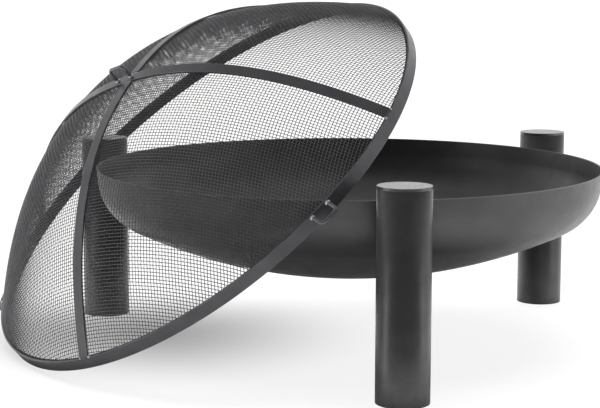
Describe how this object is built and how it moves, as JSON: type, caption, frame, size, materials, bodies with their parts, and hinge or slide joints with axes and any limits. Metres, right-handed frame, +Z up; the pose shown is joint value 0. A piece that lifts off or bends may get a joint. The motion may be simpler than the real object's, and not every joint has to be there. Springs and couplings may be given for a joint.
{
  "type": "fire pit",
  "caption": "Round dished steel fire bowl on tube legs, with a domed wire-mesh spark screen that leans over the rim and lifts off.",
  "frame": {"origin": "point on the ground under the centre of the bowl", "axes": "+Z up; +X to the right and +Y away as the pit is usually looked at, with one leg in front and the screen leaning on the left; +X is the longest extent"},
  "size_m": [0.9649, 0.8716, 0.5312],
  "materials": {
    "bowl_steel": "satin",
    "leg_steel": "satin",
    "cap_steel": "satin",
    "band_steel": "satin",
    "mesh_wire": "satin",
    "strap_steel": "satin",
    "loop_bar": "satin",
    "weld_bead": "satin"
  },
  "bodies": {
    "fire_pit": {"bowl": "bowl_steel", "front_leg_tube": "leg_steel", "right_leg_tube": "leg_steel", "left_leg_tube": "leg_steel", "front_leg_cap": "cap_steel", "right_leg_cap": "cap_steel", "left_leg_cap": "cap_steel", "front_foot_disc": "leg_steel", "right_foot_disc": "leg_steel", "left_foot_disc": "leg_steel", "front_leg_welds": "weld_bead", "right_leg_welds": "weld_bead", "left_leg_welds": "weld_bead"},
    "spark_screen": {"screen_band": "band_steel", "mesh_dome": "mesh_wire", "mesh_clamp_ring": "band_steel", "long_strap_bar": "strap_steel", "near_strap_bar": "strap_steel", "far_strap_bar": "strap_steel", "crown_loop": "loop_bar", "front_loop": "loop_bar", "left_loop": "loop_bar", "back_loop": "loop_bar", "strap_welds": "weld_bead", "loop_welds": "weld_bead"}
  },
  "joints": [
    {"name": "screen_lift", "type": "slide", "parent": "fire_pit", "child": "spark_screen", "axis": [0, 0, 1], "range_m": [0, 0.36]}
  ]
}
